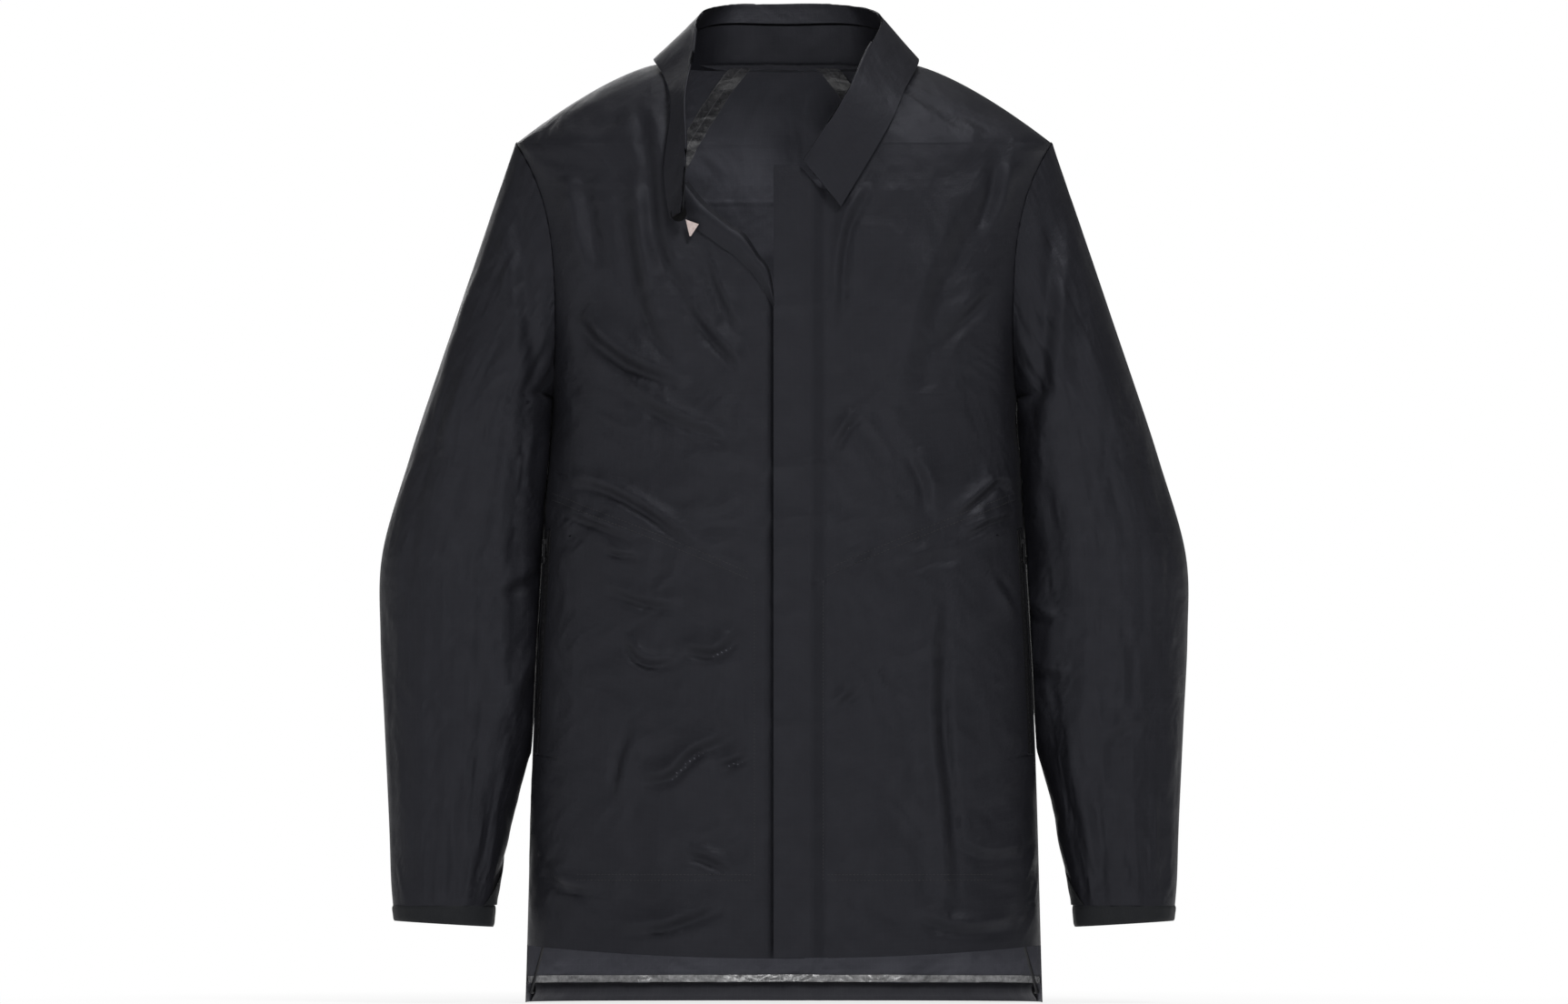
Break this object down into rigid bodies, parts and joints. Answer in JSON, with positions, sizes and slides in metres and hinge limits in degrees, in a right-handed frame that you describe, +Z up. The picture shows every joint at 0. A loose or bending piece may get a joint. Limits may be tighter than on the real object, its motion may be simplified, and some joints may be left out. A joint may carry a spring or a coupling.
{
  "type": "hardshell jacket",
  "caption": "Black hardshell jacket with a shirt collar, concealed snap placket, side zip pockets, shaped cuffs and a dropped back hem.",
  "frame": {"origin": "on the floor plane of the back hem, under the middle of the jacket's overall width and depth", "axes": "+Z up, -Y is the jacket's front, +X is the wearer's left"},
  "size_m": [0.684, 0.2114, 0.8458],
  "materials": {
    "shell_fabric": "matte",
    "inner_face": "satin",
    "stretch_trim": "matte",
    "seam_tape": "gloss",
    "snap_metal": "satin",
    "zip_plastic": "satin",
    "cord": "matte",
    "lock_plastic": "satin",
    "spring_steel": "polished",
    "label": "satin"
  },
  "bodies": {
    "shell": {"front_left_upper": "shell_fabric", "front_right_upper": "shell_fabric", "front_left_lower": "shell_fabric", "front_right_lower": "shell_fabric", "back_yoke": "shell_fabric", "back_panel": "shell_fabric", "collar_stand": "shell_fabric", "collar_fall": "shell_fabric", "collar_snap_stud": "snap_metal", "collar_snap_socket": "snap_metal", "placket_carrier": "inner_face", "lapel_facing": "inner_face", "snap_sockets": "snap_metal", "snap_studs": "snap_metal", "pocket_welt_left": "shell_fabric", "pocket_welt_right": "shell_fabric", "pocket_zip_left": "zip_plastic", "pocket_zip_right": "zip_plastic", "pocket_bag_left": "inner_face", "pocket_bag_right": "inner_face", "shoulder_seam_tapes": "seam_tape", "back_hem_tape": "seam_tape", "back_hem_facing": "stretch_trim", "front_hem_facings": "inner_face", "hem_drawcord": "cord", "hang_loop": "stretch_trim", "side_label": "label"},
    "flap": {"placket_flap": "shell_fabric"},
    "upper_sleeve_left": {"upper_sleeve_left": "shell_fabric"},
    "forearm_left": {"forearm_sleeve_left": "shell_fabric", "cuff_band_left": "stretch_trim", "cuff_gusset_left": "stretch_trim"},
    "slider_left": {"zip_slider_left": "zip_plastic"},
    "puller_left": {"zip_puller_left": "zip_plastic"},
    "cord_lock_left": {"cord_lock_left": "lock_plastic", "cord_lock_spring_left": "spring_steel"},
    "lock_button_left": {"cord_lock_button_left": "lock_plastic"},
    "upper_sleeve_right": {"upper_sleeve_right": "shell_fabric"},
    "forearm_right": {"forearm_sleeve_right": "shell_fabric", "cuff_band_right": "stretch_trim", "cuff_gusset_right": "stretch_trim"},
    "slider_right": {"zip_slider_right": "zip_plastic"},
    "puller_right": {"zip_puller_right": "zip_plastic"},
    "cord_lock_right": {"cord_lock_right": "lock_plastic", "cord_lock_spring_right": "spring_steel"},
    "lock_button_right": {"cord_lock_button_right": "lock_plastic"}
  },
  "joints": [
    {"name": "flap_swing", "type": "hinge", "parent": "shell", "child": "flap", "pos_m": [0.032, -0.089, 0.373], "axis": [0, 0, 1], "range_deg": [0, 120]},
    {"name": "left_sleeve_raise", "type": "hinge", "parent": "shell", "child": "upper_sleeve_left", "pos_m": [0.213, 0.008, 0.675], "axis": [0, -1, 0], "range_deg": [0, 45]},
    {"name": "left_elbow_bend", "type": "hinge", "parent": "upper_sleeve_left", "child": "forearm_left", "pos_m": [0.2755, -0.033, 0.379], "axis": [-1, 0, 0], "range_deg": [0, 70]},
    {"name": "left_zip_slide", "type": "slide", "parent": "shell", "child": "slider_left", "axis": [-0.0479, 0, 0.9989], "range_m": [-0.165, 0]},
    {"name": "left_puller_swing", "type": "hinge", "parent": "slider_left", "child": "puller_left", "pos_m": [0.20315, -0.02087, 0.38993], "axis": [-0.2854, -0.9583, -0.0137], "range_deg": [0, 50]},
    {"name": "left_cord_lock_slide", "type": "slide", "parent": "shell", "child": "cord_lock_left", "axis": [0, -1, 0], "range_m": [-0.006, 0.014]},
    {"name": "left_lock_button_press", "type": "slide", "parent": "cord_lock_left", "child": "lock_button_left", "axis": [0, 0, -1], "range_m": [0, 0.0024], "stiffness_N_per_m": 40, "deforming": ["cord_lock_spring_left"]},
    {"name": "right_sleeve_raise", "type": "hinge", "parent": "shell", "child": "upper_sleeve_right", "pos_m": [-0.213, 0.008, 0.675], "axis": [0, 1, 0], "range_deg": [0, 45]},
    {"name": "right_elbow_bend", "type": "hinge", "parent": "upper_sleeve_right", "child": "forearm_right", "pos_m": [-0.2755, -0.033, 0.379], "axis": [-1, 0, 0], "range_deg": [0, 70]},
    {"name": "right_zip_slide", "type": "slide", "parent": "shell", "child": "slider_right", "axis": [0.0479, 0, 0.9989], "range_m": [-0.165, 0]},
    {"name": "right_puller_swing", "type": "hinge", "parent": "slider_right", "child": "puller_right", "pos_m": [-0.20315, -0.02087, 0.38993], "axis": [-0.2854, 0.9583, 0.0137], "range_deg": [0, 50]},
    {"name": "right_cord_lock_slide", "type": "slide", "parent": "shell", "child": "cord_lock_right", "axis": [0, -1, 0], "range_m": [-0.006, 0.014]},
    {"name": "right_lock_button_press", "type": "slide", "parent": "cord_lock_right", "child": "lock_button_right", "axis": [0, 0, -1], "range_m": [0, 0.0024], "stiffness_N_per_m": 40, "deforming": ["cord_lock_spring_right"]}
  ]
}
